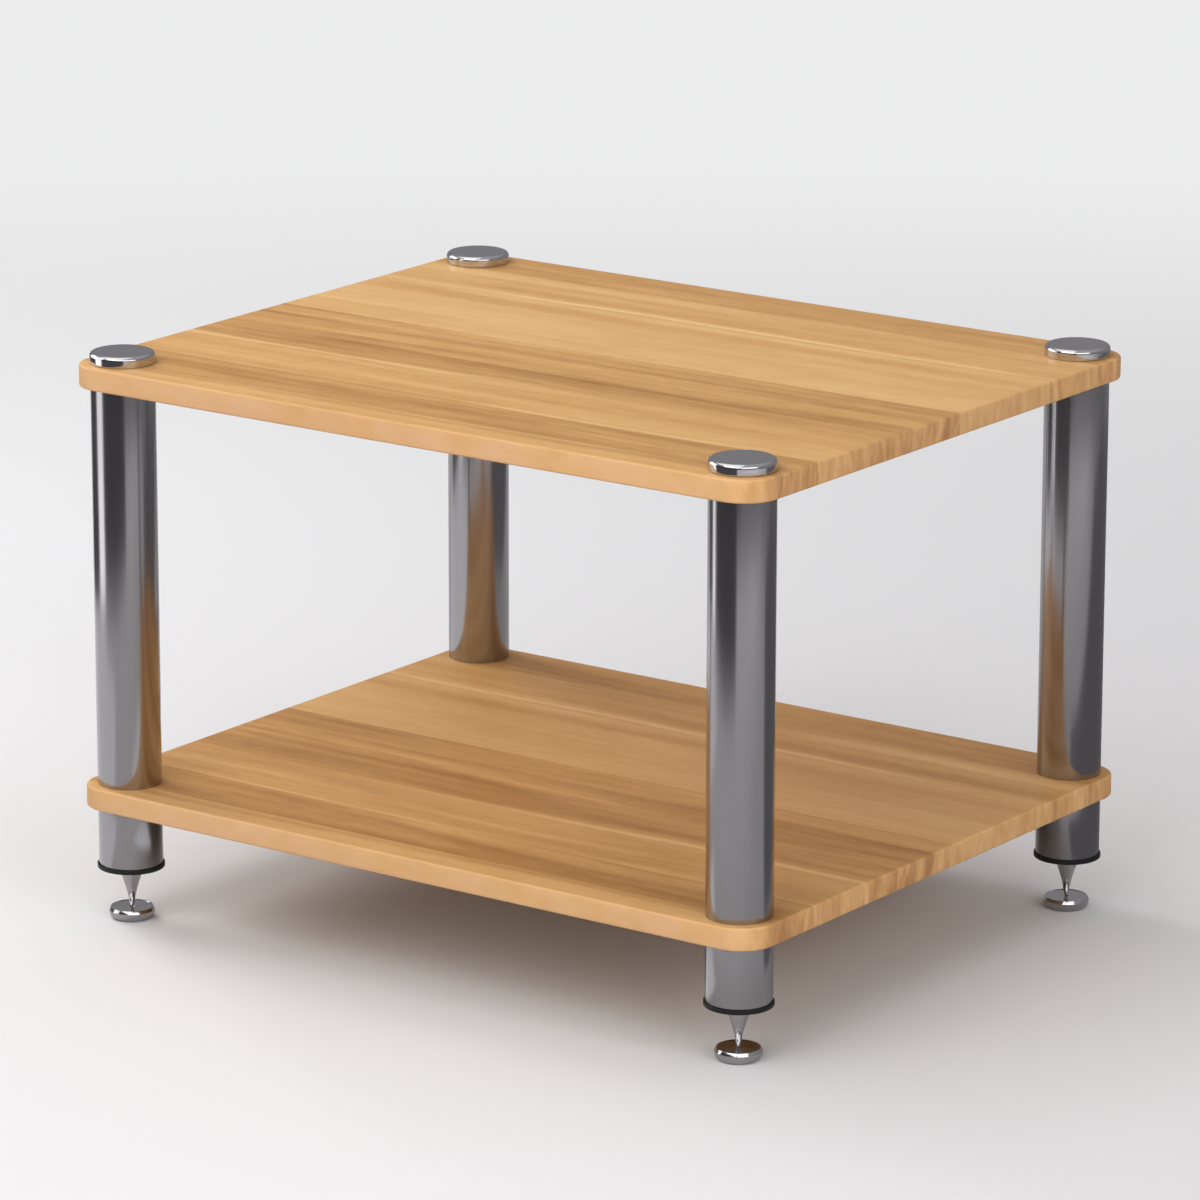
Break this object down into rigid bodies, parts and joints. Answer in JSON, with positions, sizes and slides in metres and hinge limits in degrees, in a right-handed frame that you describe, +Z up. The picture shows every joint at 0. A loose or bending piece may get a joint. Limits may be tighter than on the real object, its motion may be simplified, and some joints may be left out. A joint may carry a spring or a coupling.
{
  "type": "audio equipment rack",
  "caption": "Low rack for hi-fi equipment: laminated wooden boards clamped between polished tubular columns, on adjustable spikes in floor pads.",
  "frame": {"origin": "on the floor, under the middle of the boards", "axes": "+X to the right along the long front edge, +Y from the front to the back, +Z up"},
  "size_m": [0.65, 0.525, 0.4611],
  "materials": {
    "laminated_wood": "clear satin lacquer over light tan staves",
    "polished_tube": "polished",
    "polished_fitting": "polished",
    "plain_steel": "zinc plated",
    "black_plastic": "satin moulded nylon",
    "liner_rubber": "matt"
  },
  "bodies": {
    "floor_pads": {"floor_pad_front_left": "polished_fitting", "floor_pad_front_right": "polished_fitting", "floor_pad_back_left": "polished_fitting", "floor_pad_back_right": "polished_fitting", "pad_liner_front_left": "liner_rubber", "pad_liner_front_right": "liner_rubber", "pad_liner_back_left": "liner_rubber", "pad_liner_back_right": "liner_rubber"},
    "frame": {"top_board": "laminated_wood", "lower_board": "laminated_wood", "top_cap_front_left": "polished_fitting", "top_cap_front_right": "polished_fitting", "top_cap_back_left": "polished_fitting", "top_cap_back_right": "polished_fitting", "cap_stud_front_left": "plain_steel", "cap_stud_front_right": "plain_steel", "cap_stud_back_left": "plain_steel", "cap_stud_back_right": "plain_steel", "upper_tube_front_left": "polished_tube", "upper_tube_front_right": "polished_tube", "upper_tube_back_left": "polished_tube", "upper_tube_back_right": "polished_tube", "upper_tube_top_insert_front_left": "plain_steel", "upper_tube_top_insert_front_right": "plain_steel", "upper_tube_top_insert_back_left": "plain_steel", "upper_tube_top_insert_back_right": "plain_steel", "upper_tube_bottom_insert_front_left": "plain_steel", "upper_tube_bottom_insert_front_right": "plain_steel", "upper_tube_bottom_insert_back_left": "plain_steel", "upper_tube_bottom_insert_back_right": "plain_steel", "joining_stud_front_left": "plain_steel", "joining_stud_front_right": "plain_steel", "joining_stud_back_left": "plain_steel", "joining_stud_back_right": "plain_steel", "lower_tube_front_left": "polished_tube", "lower_tube_front_right": "polished_tube", "lower_tube_back_left": "polished_tube", "lower_tube_back_right": "polished_tube", "lower_tube_insert_front_left": "plain_steel", "lower_tube_insert_front_right": "plain_steel", "lower_tube_insert_back_left": "plain_steel", "lower_tube_insert_back_right": "plain_steel", "end_plug_front_left": "black_plastic", "end_plug_front_right": "black_plastic", "end_plug_back_left": "black_plastic", "end_plug_back_right": "black_plastic", "spike_bush_front_left": "plain_steel", "spike_bush_front_right": "plain_steel", "spike_bush_back_left": "plain_steel", "spike_bush_back_right": "plain_steel"},
    "front_left_spike": {"spike_front_left": "polished_fitting"},
    "front_right_spike": {"spike_front_right": "polished_fitting"},
    "back_left_spike": {"spike_back_left": "polished_fitting"},
    "back_right_spike": {"spike_back_right": "polished_fitting"}
  },
  "joints": [
    {"name": "frame_lift", "type": "slide", "parent": "floor_pads", "child": "frame", "axis": [0, 0, 1], "range_m": [0, 0.009]},
    {"name": "front_left_spike_turn", "type": "hinge", "parent": "floor_pads", "child": "front_left_spike", "pos_m": [-0.2927, -0.2302, 0.0083], "axis": [0, 0, -1], "range_deg": [0, 2160]},
    {"name": "front_right_spike_turn", "type": "hinge", "parent": "floor_pads", "child": "front_right_spike", "pos_m": [0.2927, -0.2302, 0.0083], "axis": [0, 0, -1], "range_deg": [0, 2160]},
    {"name": "back_left_spike_turn", "type": "hinge", "parent": "floor_pads", "child": "back_left_spike", "pos_m": [-0.2927, 0.2302, 0.0083], "axis": [0, 0, -1], "range_deg": [0, 2160]},
    {"name": "back_right_spike_turn", "type": "hinge", "parent": "floor_pads", "child": "back_right_spike", "pos_m": [0.2927, 0.2302, 0.0083], "axis": [0, 0, -1], "range_deg": [0, 2160]}
  ],
  "couplings": [
    {"joint": "front_left_spike_turn", "follows": "frame_lift", "rad_per_m": 4188.8},
    {"joint": "front_right_spike_turn", "follows": "frame_lift", "rad_per_m": 4188.8},
    {"joint": "back_left_spike_turn", "follows": "frame_lift", "rad_per_m": 4188.8},
    {"joint": "back_right_spike_turn", "follows": "frame_lift", "rad_per_m": 4188.8}
  ]
}
